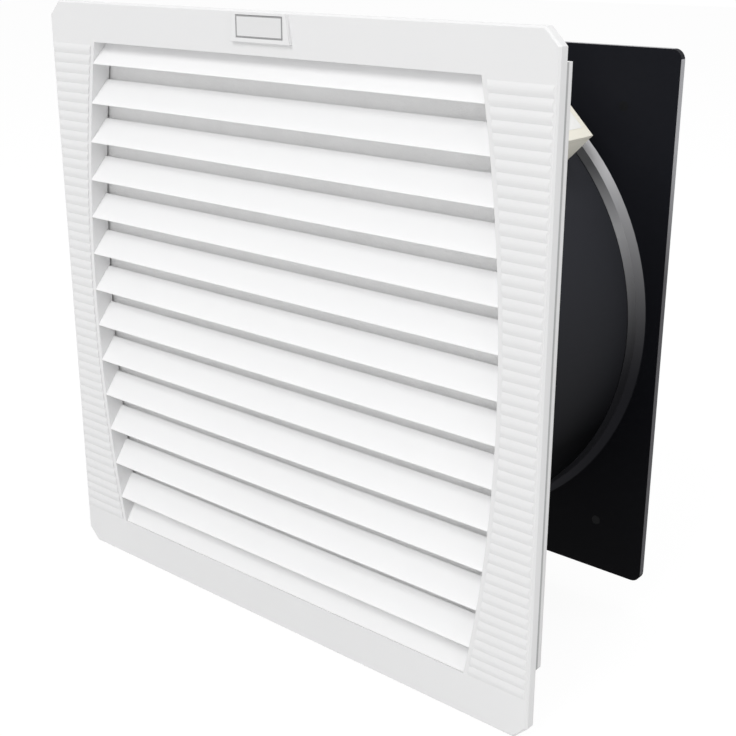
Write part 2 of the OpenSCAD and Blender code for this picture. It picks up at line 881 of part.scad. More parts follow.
module motor_flange() {
    color("#b4b7ba")
    difference() {
        union() {
            y_rod(motor_flange_r, motor_y, motor_flange_t, fn_mid);
            y_rod(tube_r, motor_y, tube_rear_y - motor_y, fn_mid);
        }
        y_rod(bearing_r, motor_y + motor_flange_t / 2, tube_rear_y, fn_mid);
        at_motor_screws() y_rod(motor_screw_r, motor_y - cut, motor_flange_t + 2 * cut);
        at_motor_lead() y_rod(cable_r + cable_gap, motor_y - cut, motor_flange_t + 2 * cut);
    }
}

module motor_screws() {
    color("#8f9397")
    at_motor_screws() {
        y_rod(motor_screw_r, spider_y, bar_t + motor_flange_t - body_gap);
        translate([0, spider_y, 0]) rotate([90, 0, 0]) screw_head(motor_head_r, motor_head_h);
    }
}

core_y = (can_y + can_rear_y - core_len) / 2;

module stator_core() {
    color("#7b7f83")
    difference() {
        y_ring(core_r, tube_r, core_y, core_len);
        for (i = [0 : core_slots - 1])
            rotate([0, i * 360 / core_slots, 0])
                translate([core_r * slot_depth_share, core_y - cut, -slot_w / 2])
                    cube([core_r, core_len + 2 * cut, slot_w]);
    }
}

module stator_windings() {
    color("#b4652e")
    for (y0 = [core_y - winding_len, core_y + core_len])
        y_ring(core_r - winding_inset, tube_r + winding_inset, y0, winding_len);
}

module bearing(y0) {
    y_ring(bearing_r, shaft_r + run_gap, y0, bearing_w, fn_mid);
}

module front_bearing() {
    color("#c3c6c9") bearing(front_bearing_y);
}

module rear_bearing() {
    color("#c3c6c9") bearing(rear_bearing_y);
}

module rotor_can() {
    color("#202225")
    difference() {
        translate([0, can_y, 0])
            rotate([-90, 0, 0])
                rotate_extrude($fn = fn_big)
                    polygon(concat(
                        [[0, can_len], [0, can_len - can_wall - hub_boss_len],
                         [hub_boss_r, can_len - can_wall - hub_boss_len], [hub_boss_r, can_len - can_wall],
                         [cage_r, can_len - can_wall], [cage_r, 0], [can_r, 0]],
                        [for (a = [0 : 15 : 90])
                            [can_r - can_round + can_round * cos(a),
                             can_len - can_round + can_round * sin(a)]]));
        y_rod(shaft_r, can_y, can_len + cut);
    }
}

module rotor_cage() {
    color("#8b8f94") y_ring(cage_r, cage_r - cage_t, core_y, core_len);
}

module rotor_shaft() {
    color("#c9cccf") y_rod(shaft_r, front_bearing_y - shaft_end, can_rear_y - front_bearing_y + shaft_end);
}

module shaft_clip() {
    clip_y = rear_bearing_y + bearing_w + body_gap;
    color("#5b5e62") y_ring(clip_ring_r, shaft_r, clip_y, clip_ring_t, fn_small);
}

module impeller_hub() {
    color("#2a2c2f") y_ring(hub_r, can_r, hub_y, hub_len, fn_big);
}

// One point of a blade: span share s, chord share c from -0.5 to 0.5, side 1 or -1 of the plate
function blade_point(s, c, side) =
    let (r = blade_root_r + (impeller_r - blade_root_r) * s,
         chord = blade_root_chord + (blade_chord - blade_root_chord) * s,
         pitch = blade_root_angle + (blade_tip_angle - blade_root_angle) * s,
         arch = blade_camber_share * chord * (1 - 4 * c * c),
         half_t = side * blade_t / 2 * (1 - 3 * c * c),
         across = chord * c * cos(pitch) - (arch + half_t) * sin(pitch),
         along = chord * c * sin(pitch) + (arch + half_t) * cos(pitch),
         turn = across / r * 180 / PI + blade_sweep_angle * s * s)
    [r * cos(turn), blade_mid_y + along, r * sin(turn)];

module blade() {
    ns = blade_span_steps;
    nc = blade_chord_steps;
    ring = 2 * (nc + 1);
    points = [
        for (i = [0 : ns])
            for (k = [0 : ring - 1])
                k <= nc
                    ? blade_point(i / ns, k / nc - 1 / 2, 1)
                    : blade_point(i / ns, (ring - 1 - k) / nc - 1 / 2, -1)];
    sides = [
        for (i = [0 : ns - 1], k = [0 : ring - 1])
            let (a = i * ring + k, b = i * ring + (k + 1) % ring)
                each [[a, b, a + ring], [b, b + ring, a + ring]]];
    ends = [
        for (k = [0 : nc - 1])
            each [
                [k, ring - 1 - k, k + 1], [k + 1, ring - 1 - k, ring - 2 - k],
                [ns * ring + k, ns * ring + k + 1, ns * ring + ring - 1 - k],
                [ns * ring + k + 1, ns * ring + ring - 2 - k, ns * ring + ring - 1 - k]]];
    polyhedron(points, concat(sides, ends));
}

module fan_blades() {
    color("#2d2f32")
    for (i = [0 : blade_count - 1]) rotate([0, i * 360 / blade_count, 0]) blade();
}

// The terminal box is drawn with +Z pointing away from the fan's axis
module on_box() {
    rotate([0, box_angle, 0]) children();
}

module at_box_screws() {
    for (dy = [box_screw_inset + box_wall, box_len - box_screw_inset - box_wall])
        translate([box_x + box_screw_inset + box_wall, box_y + dy, 0]) children();
}

module box_eyes(shift, r) {
    for (end = [0, 1])
        translate([
            lid_pin_x,
            box_y + box_len * (end == 0 ? lid_eye_share : 1 - lid_eye_share) - lid_eye_w / 2 + shift,
            lid_pin_z])
            rotate([-90, 0, 0]) cylinder(h = lid_eye_w, r = r, $fn = fn_small);
}

module terminal_box() {
    color("#f4f1e4")
    on_box()
    difference() {
        union() {
            translate([box_x, box_y, 0]) cube([box_w, box_len, box_rim_z]);
            box_eyes(0, lid_eye_r);
            for (end = [0, 1])
                translate([
                    lid_pin_x,
                    box_y + box_len * (end == 0 ? lid_eye_share : 1 - lid_eye_share) - lid_eye_w / 2,
                    lid_pin_z - lid_eye_r])
                    cube([box_x - lid_pin_x + box_wall / 2, lid_eye_w, lid_eye_r / 2]);
        }
        y_rod(tunnel_r, box_y - cut, box_len + 2 * cut, fn_big);
        translate([box_x + box_wall, box_y + box_wall, box_floor_z])
            cube([box_w - 2 * box_wall, box_len - 2 * box_wall, box_h]);
        translate([box_x + box_wall + cut, gland_y, gland_z])
            rotate([0, -90, 0]) cylinder(h = box_wall + 2 * cut, r = gland_thread_r, $fn = fn_small);
        translate([lead_x, 0, cable_run_r]) y_rod(cable_r + cable_gap, box_y - cut, box_wall + 2 * cut);
        translate([box_x - cut, cap_lead_y, cable_run_r])
            rotate([0, 90, 0]) cylinder(h = box_wall + 2 * cut, r = cable_r + cable_gap, $fn = fn_small);
        translate([0, box_y - cut, lid_pin_z])
            translate([lid_pin_x, 0, 0])
                rotate([-90, 0, 0]) cylinder(h = box_len + 2 * cut, r = lid_pin_r, $fn = fn_small);
        at_box_screws() cylinder(h = box_top_z, r = box_screw_r + screw_gap, $fn = fn_small);
    }
}

module box_screws() {
    color("#a9adb1")
    on_box()
    at_box_screws() {
        translate([0, 0, tunnel_inner + body_gap])
            cylinder(h = box_floor_z - tunnel_inner, r = box_screw_r, $fn = fn_small);
        translate([0, 0, box_floor_z]) screw_head(box_screw_head_r, box_screw_head_h);
    }
}

block_x = box_x + box_w - box_wall - block_w - body_gap;
block_y = box_y + (box_len - block_len) / 2;

module terminal_block() {
    pitch = block_len * pole_pitch_share;
    color("#5f6b62")
    on_box()
    difference() {
        union() {
            translate([block_x, block_y, box_floor_z]) cube([block_w, block_len, block_base_h]);
            for (i = [0 : pole_count])
                translate([
                    block_x,
                    block_y + block_len / 2 + (i - pole_count / 2) * pitch - box_wall / 4,
                    box_floor_z])
                    cube([block_w, box_wall / 2, block_h]);
        }
        at_poles() translate([0, 0, box_floor_z + block_base_h / 2])
            cylinder(h = block_h, r = terminal_screw_r, $fn = fn_small);
    }
}

module at_poles() {
    pitch = block_len * pole_pitch_share;
    for (i = [0 : pole_count - 1], row = [1, 3])
        translate([
            block_x + block_w * row / 4,
            block_y + block_len / 2 + (i - (pole_count - 1) / 2) * pitch, 0])
            children();
}

module terminal_screws() {
    color("#c8a04a")
    on_box()
    at_poles() {
        translate([0, 0, box_floor_z + block_base_h / 2])
            cylinder(h = block_base_h / 2, r = terminal_screw_r, $fn = fn_small);
        translate([0, 0, box_floor_z + block_base_h])
            difference() {
                cylinder(h = terminal_head_h, r = terminal_head_r, $fn = fn_small);
                translate([-terminal_head_r, -terminal_slot_w / 2, terminal_head_h * (1 - drive_depth_share)])
                    cube([2 * terminal_head_r, terminal_slot_w, terminal_head_h]);
            }
    }
}

// The gland is drawn with +Y pointing back into the box
module at_gland() {
    translate([box_x, gland_y, gland_z]) rotate([0, 0, -90]) children();
}

module cable_gland() {
    color("#3a3c3f")
    on_box()
    at_gland()
        difference() {
            union() {
                y_rod(gland_thread_r, -gland_len, gland_len + box_wall);
                y_rod(gland_r, -gland_len / 2, gland_len / 2, fn_mid);
            }
            y_rod(gland_bore_r, -gland_len - cut, gland_len + box_wall + 2 * cut);
        }
}

module gland_nut() {
    nut_y = -gland_len / 2 - gland_nut_len - body_gap;
    color("#303235")
    on_box()
    at_gland()
        difference() {
            intersection() {
                y_rod(gland_nut_r, nut_y, gland_nut_len, 6);
                y_rod(gland_r, nut_y, gland_nut_len, fn_mid);
            }
            y_rod(gland_bore_r, nut_y - cut, gland_nut_len + 2 * cut);
            y_rod(gland_thread_r + run_gap, -gland_len - body_gap, gland_len);
        }
}

module lid_pin() {
    color("#9aa0a4")
    on_box()
    translate([lid_pin_x, 0, lid_pin_z])
        y_rod(
            lid_pin_r,
            box_y + box_len * lid_eye_share - lid_eye_w / 2,
            box_len * (1 - 2 * lid_eye_share) + lid_eye_w);
}

module terminal_lid() {
    eye_y = box_y + box_len * lid_eye_share + lid_eye_w / 2 + lid_eye_gap;
    eye_len = box_len * (1 - 2 * lid_eye_share) - lid_eye_w - 2 * lid_eye_gap;
    color("#f7f4e8")
    on_box()
    difference() {
        union() {
            translate([box_x, box_y, lid_z]) cube([box_w, box_len, lid_t]);
            translate([lid_pin_x, eye_y, lid_pin_z])
                rotate([-90, 0, 0]) cylinder(h = eye_len, r = lid_eye_r, $fn = fn_small);
            translate([lid_pin_x, eye_y, lid_z])
                cube([box_x - lid_pin_x + lid_t, eye_len, lid_t]);
        }
        translate([lid_pin_x, 0, lid_pin_z]) y_rod(lid_pin_r + run_gap, box_y, box_len);
        lid_label_block(label_gap / 2, lid_t);
    }
}

module lid_label_block(gap, len) {
    translate([box_x + box_wall - gap, box_y + box_wall - gap, box_top_z - label_plate_t])
        cube([
            box_w - box_wall - label_side_gap + 2 * gap,
            box_len - box_wall - label_rear_gap + 2 * gap,
            len]);
}

module lid_label() {
    color("#fbfbfa") on_box() lid_label_block(0, label_plate_t);
}

module lead_grommet() {
    color("#141516")
    on_box()
    translate([lead_x, lead_hole_y, tunnel_inner - (grommet_t - tunnel_wall) / 2])
        difference() {
            union() {
                cylinder(h = grommet_t, r = grommet_r, $fn = fn_small);
                translate([0, 0, grommet_t - (grommet_t - tunnel_wall) / 2 + cable_gap / 2])
                    cylinder(h = grommet_lip - cable_gap / 2, r = grommet_r + grommet_lip, $fn = fn_small);
            }
            translate([0, 0, -cut]) cylinder(h = grommet_t + 2 * cut, r = cable_r, $fn = fn_small);
        }
}

// Arc of points that rounds the corner of a route
function bend(corner, from_dir, to_dir, radius) = [
    for (i = [0 : bend_steps])
        let (a = 90 * i / bend_steps)
            corner - from_dir * radius * (1 - sin(a)) + to_dir * radius * (1 - cos(a))];

function unit(v) = v / norm(v);

function tangent(path, i) =
    i == 0 ? unit(path[1] - path[0])
    : i == len(path) - 1 ? unit(path[i] - path[i - 1])
    : unit(unit(path[i + 1] - path[i]) + unit(path[i] - path[i - 1]));

// Carries a side vector along the path, so that the tube doesn't twist
function side_vectors(path, i, v) =
    i == len(path) ? []
    : let (t = tangent(path, i), w = unit(v - t * (v * t))) concat([w], side_vectors(path, i + 1, w));

module tube(path, r, sides, first_side) {
    frames = side_vectors(path, 0, first_side);
    n = len(path);
    points = [
        for (i = [0 : n - 1], k = [0 : sides - 1])
            let (t = tangent(path, i), u = frames[i], v = cross(t, u), a = 360 * k / sides)
                path[i] + r * (cos(a) * u + sin(a) * v)];
    faces = concat(
        [[for (k = [0 : sides - 1]) k]],
        [for (i = [0 : n - 2], k = [0 : sides - 1])
            let (a = i * sides + k, b = i * sides + (k + 1) % sides)
                each [[a, a + sides, b], [b, a + sides, b + sides]]],
        [[for (k = [sides - 1 : -1 : 0]) (n - 1) * sides + k]]);
    polyhedron(points, faces);
}

// Curve from a to b that leaves along one direction and arrives along another
function curve(a, from_dir, b, to_dir, pull, steps) = [
    for (i = [1 : steps])
        let (s = i / steps, t = 1 - s)
            t * t * t * a + 3 * t * t * s * (a + from_dir * pull)
            + 3 * t * s * s * (b - to_dir * pull) + s * s * s * b];

// From the motor along a spider bar, out through the tunnel and back to the terminal block
module motor_cable() {
    forwards = [0, -1, 0];
    outwards = [0, 0, 1];
    back = [0, 1, 0];
    bar_end = [lead_x, cable_bar_y, tunnel_inner - lead_straight];
    hole_start = [lead_x, lead_hole_y, tunnel_inner - lead_hole_straight];
    path = concat(
        [[lead_x, motor_y + motor_flange_t, lead_in_r]],
        bend([lead_x, cable_bar_y, lead_in_r], forwards, outwards, bend_r),
        [for (i = [1 : bend_steps])
            [lead_x, cable_bar_y, lead_in_r + bend_r + (bar_end[2] - lead_in_r - bend_r) * i / bend_steps]],
        curve(bar_end, outwards, hole_start, outwards, bend_r, bend_steps),
        bend([lead_x, lead_hole_y, cable_run_r], outwards, back, bend_r),
        [[lead_x, box_y - bend_r, cable_run_r], [lead_x, block_y, cable_run_r]]);
    color("#1b1c1e") on_box() tube(path, cable_r, cable_sides, [1, 0, 0]);
}

module on_capacitor() {
    rotate([0, cap_angle, 0]) translate([0, 0, cap_z]) children();
}

module run_capacitor() {
    color("#d8dadb")
    on_capacitor() {
        y_rod(cap_r, cap_y, cap_len, fn_mid);
        y_rod(cap_r - cap_crimp * 2, cap_y + cap_len, cap_crimp, fn_mid);
    }
}

module capacitor_clip() {
    clip_y = cap_y + (cap_len - strap_w) / 2;
    color("#8d9195")
    difference() {
        on_capacitor() {
            y_rod(cap_r + strap_t, clip_y, strap_w, fn_mid);
            translate([-cap_r - strap_t, clip_y, -cap_r - cap_gap])
                cube([2 * (cap_r + strap_t), strap_w, cap_gap * 2]);
        }
        on_capacitor() y_rod(cap_r, clip_y - cut, strap_w + 2 * cut, fn_mid);
        y_rod(tunnel_r, clip_y - cut, strap_w + 2 * cut, fn_big);
    }
}

// Point on the lead's arc round the tunnel, at an angle from the terminal box
function arc_point(a) = [cap_lead_r * sin(a), cap_lead_y, cap_lead_r * cos(a)];

function arc_dir(a) = [cos(a), 0, -sin(a)];

// From the capacitor round the top of the tunnel into the side of the terminal box
module capacitor_lead() {
    cap_a = cap_angle - box_angle;
    root = [cap_z * sin(cap_a), cap_y + cap_len + cap_crimp, cap_z * cos(cap_a)];
    start = root + [0, cable_r, 0];
    from_a = cap_a + cap_lead_start_angle;
    end = [box_x - cable_r, cap_lead_y, cable_run_r];
    path = concat(
        [root, start],
        curve(start, [0, 1, 0], arc_point(from_a), arc_dir(from_a), cap_lead_out, 2 * bend_steps),
        [for (i = [1 : bend_steps])
            arc_point(from_a + (cap_lead_end_angle - from_a) * i / bend_steps)],
        curve(
            arc_point(cap_lead_end_angle), arc_dir(cap_lead_end_angle),
            end, [1, 0, 0], cap_lead_out / 2, bend_steps),
        [[box_x + box_wall, cap_lead_y, cable_run_r]]);
    color("#232427") on_box() tube(path, cable_r, cable_sides, [1, 0, 0]);
}

cover();
louvre_slats();
blank_label();
hinge_pins();
base_frame();
panel_gasket();
panel_clips();
clip_screws();
support_grid();
filter_mat();
fan_tunnel();
tunnel_screws();
rear_plate();
guard_bars();
guard_rings();
guard_studs();
guard_nuts();
motor_spider();
spider_screws();
motor_flange();
motor_screws();
stator_core();
stator_windings();
front_bearing();
rear_bearing();
rotor_can();
rotor_cage();
rotor_shaft();
shaft_clip();
impeller_hub();
fan_blades();
terminal_box();
box_screws();
terminal_block();
terminal_screws();
cable_gland();
gland_nut();
lid_pin();
terminal_lid();
lid_label();
lead_grommet();
motor_cable();
run_capacitor();
capacitor_clip();
capacitor_lead();
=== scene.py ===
"""Looks of a panel fan: louvred cover, frame with filter mat, round fan housing and terminal box.

The pieces that need only a finish are the frame's own. The soft filter mat is modelled here, in
metres, where the frame says that it is.
"""

import json
import logging
import math
from dataclasses import dataclass
from enum import Enum
from typing import Any, Dict, Optional, Tuple

import bmesh
import bpy
from mathutils import Matrix, Vector, noise

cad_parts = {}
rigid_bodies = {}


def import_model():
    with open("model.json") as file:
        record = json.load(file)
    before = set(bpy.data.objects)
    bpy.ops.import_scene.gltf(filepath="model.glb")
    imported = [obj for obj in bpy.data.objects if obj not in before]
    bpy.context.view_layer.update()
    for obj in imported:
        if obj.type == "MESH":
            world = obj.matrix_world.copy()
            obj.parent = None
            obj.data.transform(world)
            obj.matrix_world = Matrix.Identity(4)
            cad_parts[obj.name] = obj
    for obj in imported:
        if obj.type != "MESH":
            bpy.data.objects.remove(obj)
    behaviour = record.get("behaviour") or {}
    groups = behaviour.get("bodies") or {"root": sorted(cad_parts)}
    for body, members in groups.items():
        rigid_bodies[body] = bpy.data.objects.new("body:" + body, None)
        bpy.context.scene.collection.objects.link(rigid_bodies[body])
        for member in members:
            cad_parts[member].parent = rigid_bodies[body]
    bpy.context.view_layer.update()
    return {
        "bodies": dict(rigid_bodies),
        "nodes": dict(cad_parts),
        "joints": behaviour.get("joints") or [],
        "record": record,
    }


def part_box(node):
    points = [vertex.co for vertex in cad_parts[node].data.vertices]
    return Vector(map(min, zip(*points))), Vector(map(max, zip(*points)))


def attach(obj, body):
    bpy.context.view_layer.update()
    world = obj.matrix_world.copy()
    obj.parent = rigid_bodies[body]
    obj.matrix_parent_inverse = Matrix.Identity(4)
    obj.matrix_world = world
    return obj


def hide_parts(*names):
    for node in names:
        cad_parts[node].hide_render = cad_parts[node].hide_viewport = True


log = logging.getLogger("panel_fan")

Colour = Tuple[float, float, float]
Point = Tuple[float, float, float]
MM: float = 0.001

# Where a change of tone starts and ends, in millimetres
Rise = Tuple[float, float]

# Octaves of a soft and of a fine noise
SOFT: float = 2.0
FINE: float = 3.0

# Waves per metre of a coating's orange peel and of its slow change of tone
PEEL_SCALE: float = 420.0
CLOUD_SCALE: float = 14.0


def linear(red: float, green: float, blue: float) -> Colour:
    """Turns screen values from 0 to 255 into the renderer's linear colour.

    Args:
        red: Screen value of red.
        green: Screen value of green.
        blue: Screen value of blue.

    Returns:
        The colour in linear light.
    """

    def one(value: float) -> float:
        """Turns one screen value into linear light."""
        share = value / 255.0
        return share / 12.92 if share <= 0.04045 else ((share + 0.055) / 1.055) ** 2.4

    return one(red), one(green), one(blue)


class Wire:
    """A value in a material's node tree that Python's own operators can work on."""

    def __init__(self, tree: bpy.types.NodeTree, socket: bpy.types.NodeSocket) -> None:
        """Keeps the tree that new Math nodes go into, and the socket that carries the value."""
        self.tree = tree
        self.socket = socket

    def _maths(self, operation: str, *terms: Any, clamp: bool = False) -> "Wire":
        """Adds a Math node.

        Args:
            operation: Name of the operation.
            terms: Wires or numbers that feed it.
            clamp: Whether the result is held between 0 and 1.

        Returns:
            The node's result.
        """
        node = self.tree.nodes.new("ShaderNodeMath")
        node.operation = operation
        node.use_clamp = clamp
        for slot, term in zip(node.inputs, terms):
            if isinstance(term, Wire):
                self.tree.links.new(term.socket, slot)
            else:
                slot.default_value = float(term)
        return Wire(self.tree, node.outputs[0])

    def __add__(self, other: Any) -> "Wire":
        """Adds."""
        return self._maths("ADD", self, other)

    def __radd__(self, other: Any) -> "Wire":
        """Adds to a number."""
        return self._maths("ADD", other, self)

    def __sub__(self, other: Any) -> "Wire":
        """Takes away."""
        return self._maths("SUBTRACT", self, other)

    def __rsub__(self, other: Any) -> "Wire":
        """Takes away from a number."""
        return self._maths("SUBTRACT", other, self)

    def __mul__(self, other: Any) -> "Wire":
        """Multiplies."""
        return self._maths("MULTIPLY", self, other)

    def __truediv__(self, other: Any) -> "Wire":
        """Divides."""
        return self._maths("DIVIDE", self, other)

    def clamped(self) -> "Wire":
        """Holds the value between 0 and 1."""
        return self._maths("ADD", self, 0.0, clamp=True)

    def absolute(self) -> "Wire":
        """Drops the sign."""
        return self._maths("ABSOLUTE", self)

    def over(self, limit_mm: float) -> "Wire":
        """Gives 1 where a length in metres is over a limit in millimetres, and 0 elsewhere."""
        return self._maths("GREATER_THAN", self, limit_mm * MM)

    def under(self, limit_mm: float) -> "Wire":
        """Gives 1 where a length in metres is under a limit in millimetres, and 0 elsewhere."""
        return self._maths("LESS_THAN", self, limit_mm * MM)

    def larger(self, other: "Wire") -> "Wire":
        """Gives the larger of two values."""
        return self._maths("MAXIMUM", self, other)

    def power(self, exponent: float) -> "Wire":
        """Raises to a power."""
        return self._maths("POWER", self, exponent)

    def swing(self, span: float) -> "Wire":
        """Lets a value from 0 to 1 swing about zero, over a span from the lowest result to the highest."""
        return (self - 0.5) * span

    def rise(self, ends_mm: Rise) -> "Wire":
        """Rises from 0 to 1 between two places in millimetres, and is level beyond them."""
        start, end = (place * MM for place in ends_mm)
        return ((self - start) / (end - start)).clamped()

    def wave(self, pitch_mm: float) -> "Wire":
        """Gives a sine wave from 0 to 1 along a length in metres, with a pitch in millimetres."""
        return self._maths("SINE", self * (2.0 * math.pi / (pitch_mm * MM))) * 0.5 + 0.5


class Stretch(Enum):
    """How a noise is drawn out along each axis."""

    ALONG_X = (1.0, 40.0, 40.0)
    ALONG_Y = (40.0, 1.0, 40.0)
    FLOW = (1.0, 2.0, 0.35)
    FIBRE_X = (1.0, 1.0, 4.0)
    FIBRE_Z = (4.0, 1.0, 1.0)
    NONE = (1.0, 1.0, 1.0)


class NodeBench:
    """Puts together the node tree of one material."""

    OCTAVE_SHARE: float = 0.55
    BEVEL_SAMPLES: int = 4

    def __init__(self, name: str) -> None:
        """Starts a material with an empty tree.

        Args:
            name: Name of the material.
        """
        self.material = bpy.data.materials.new(name)
        self.material.use_nodes = True
        self.tree = self.material.node_tree
        self.tree.nodes.clear()
        self.coordinates = self.add("ShaderNodeTexCoord").outputs["Object"]

    def add(
        self,
        kind: str,
        settings: Optional[Dict[str, Any]] = None,
        inputs: Optional[Dict[Any, Any]] = None,
    ) -> bpy.types.Node:
        """Adds any node.

        Args:
            kind: Blender's name of the node's type.
            settings: Properties that are set before the inputs.
            inputs: Values, wires or sockets by input name or number.

        Returns:
            The node.
        """
        node = self.tree.nodes.new(kind)
        for key, value in (settings or {}).items():
            setattr(node, key, value)
        for key, value in (inputs or {}).items():
            slot = node.inputs[key]
            if isinstance(value, Wire):
                self.tree.links.new(value.socket, slot)
            elif isinstance(value, bpy.types.NodeSocket):
                self.tree.links.new(value, slot)
            elif isinstance(value, tuple) and len(value) == 3 and slot.type == "RGBA":
                slot.default_value = (*value, 1.0)
            else:
                slot.default_value = value
        return node

    def noise(self, scale: float, detail: float = SOFT, stretch: Stretch = Stretch.NONE) -> Wire:
        """Adds a noise on the object's own coordinates.

        Args:
            scale: Waves per metre.
            detail: Octaves of finer noise.
            stretch: Factor along each axis.

        Returns:
            The noise's value.
        """
        place = self.add("ShaderNodeMapping", inputs={"Vector": self.coordinates, "Scale": stretch.value})
        made = self.add(
            "ShaderNodeTexNoise",
            {"noise_dimensions": "3D"},
            {"Vector": place.outputs[0], "Scale": scale, "Detail": detail, "Roughness": self.OCTAVE_SHARE},
        )
        return Wire(self.tree, made.outputs[0])

    def cells(self, scale: float) -> Wire:
        """Adds the distance to the nearest cell point, with a scale in cells per metre."""
        made = self.add("ShaderNodeTexVoronoi", inputs={"Vector": self.coordinates, "Scale": scale})
        return Wire(self.tree, made.outputs["Distance"])

    def axis(self, letter: str) -> Wire:
        """Gives the object's X, Y or Z coordinate, in metres."""
        parts = self.add("ShaderNodeSeparateXYZ", inputs={0: self.coordinates})
        return Wire(self.tree, parts.outputs[letter])

    def radius(self) -> Wire:
        """Gives the distance from the fan's axis, in metres."""
        across, height = self.axis("X"), self.axis("Z")
        return (across * across + height * height).power(0.5)

    def blend(self, share: Wire, low: Any, high: Any) -> bpy.types.NodeSocket:
        """Mixes two colours.

        Args:
            share: Share of the second colour.
            low: Colour or socket where the share is 0.
            high: Colour or socket where the share is 1.

        Returns:
            The mixed colour's socket.
        """
        mix = self.add("ShaderNodeMix", {"data_type": "RGBA"}, {0: share.clamped()})
        for slot, tone in ((6, low), (7, high)):
            if isinstance(tone, bpy.types.NodeSocket):
                self.tree.links.new(tone, mix.inputs[slot])
            else:
                mix.inputs[slot].default_value = (*tone, 1.0)
        return mix.outputs[2]

    def bump(self, height: Wire, depth_mm: float, bevel_mm: float = 0.0) -> bpy.types.NodeSocket:
        """Turns a height into a normal.

        Args:
            height: Height from 0 to 1.
            depth_mm: Depth that a height of 1 stands for.
            bevel_mm: Radius that sharp edges seem to have.

        Returns:
            The normal's socket.
        """
        inputs: Dict[Any, Any] = {"Height": height, "Distance": depth_mm * MM, "Strength": 1.0}
        if bevel_mm > 0.0:
            soft = self.add("ShaderNodeBevel", {"samples": self.BEVEL_SAMPLES}, {"Radius": bevel_mm * MM})
            inputs["Normal"] = soft.outputs[0]
        return self.add("ShaderNodeBump", inputs=inputs).outputs[0]

    def surface(self, inputs: Dict[str, Any]) -> bpy.types.Material:
        """Closes the tree with a Principled shader.

        Args:
            inputs: Values or sockets of the shader.

        Returns:
            The material.
        """
        shader = self.add("ShaderNodeBsdfPrincipled", inputs=inputs)
        self.add("ShaderNodeOutputMaterial", inputs={0: shader.outputs[0]})
        return self.material


@dataclass(frozen=True)
class Moulded:
    """Injection-moulded plastic with a fine spark-eroded grain, and a painted shadow strip behind the
    cover if it has a shadow colour.
    """

    name: str
    colour: Colour
    shade: Colour
    roughness: float = 0.42
    grain_mm: float = 0.010
    grain_scale: float = 1500.0
    specular: float = 0.45
    bevel_mm: float = 0.25
    flow_scale: float = 22.0
    # Colour and place of a painted shadow strip on the frame's side wall just behind the cover
    painted_shadow: Optional[Colour] = None
    painted_shadow_x_mm: float = 144.9
    painted_shadow_start_mm: float = 24.3
    painted_shadow_end_mm: float = 26.3
    flow_tint: float = 0.55
    grain_tint: float = 0.25
    flow_gloss: float = 0.06
    grain_gloss: float = 0.10

    def make(self) -> bpy.types.Material:
        """Builds the material.

        Returns:
            The material.
        """
        bench = NodeBench(self.name)
        grain = bench.noise(self.grain_scale, FINE)
        flow = bench.noise(self.flow_scale, SOFT, Stretch.FLOW)
        plastic = bench.blend(flow * self.flow_tint + grain * self.grain_tint, self.colour, self.shade)
        # Painted shadow: a dark strip on the side wall just behind the cover, where shade falls
        if self.painted_shadow:
            depth = bench.axis("Y")
            strip = depth.over(self.painted_shadow_start_mm) * depth.under(self.painted_shadow_end_mm)
            shadow_strip = bench.axis("X").absolute().over(self.painted_shadow_x_mm) * strip
            plastic = bench.blend(shadow_strip, plastic, self.painted_shadow)
        return bench.surface(
            {
                "Base Color": plastic,
                "Roughness": self.roughness + grain.swing(self.grain_gloss) + flow.swing(self.flow_gloss),
                "Specular IOR Level": self.specular,
                "Normal": bench.bump(grain, self.grain_mm, self.bevel_mm),
            }
        )


@dataclass(frozen=True)
class Coated:
    """Thin stoved coating with a slight orange peel; if it has a shaded foot colour, painted shade darkens
    it towards the bottom.
    """

    name: str
    colour: Colour
    worn: Colour
    roughness: float = 0.38
    peel_mm: float = 0.02
    specular: float = 0.3
    # Colour of the painted shade at the bottom, and the heights in millimetres over which it gives way
    shaded_foot: Optional[Colour] = None
    rise_mm: Rise = (-55.0, 85.0)
    dust_scale: float = 2600.0
    dust_level: float = 0.62
    dust_gain: float = 3.0
    dust_tint: float = 0.5
    cloud_tint: float = 0.7
    cloud_gloss: float = 0.16
    bevel_mm: float = 0.2

    def make(self) -> bpy.types.Material:
        """Builds the material.

        Returns:
            The material.
        """
        bench = NodeBench(self.name)
        peel = bench.noise(PEEL_SCALE)
        cloud = bench.noise(CLOUD_SCALE, FINE)
        dust = (bench.noise(self.dust_scale, 1.0) - self.dust_level) * self.dust_gain
        wear = cloud * self.cloud_tint + dust.clamped() * self.dust_tint
        paint = bench.blend(wear, self.colour, self.worn)
        # Painted shade: the coating darkens towards the bottom
        if self.shaded_foot:
            paint = bench.blend(bench.axis("Z").rise(self.rise_mm), self.shaded_foot, paint)
        return bench.surface(
            {
                "Base Color": paint,
                "Roughness": self.roughness + cloud.swing(self.cloud_gloss),
                "Specular IOR Level": self.specular,
                "Normal": bench.bump(peel, self.peel_mm, self.bevel_mm),
            }
        )


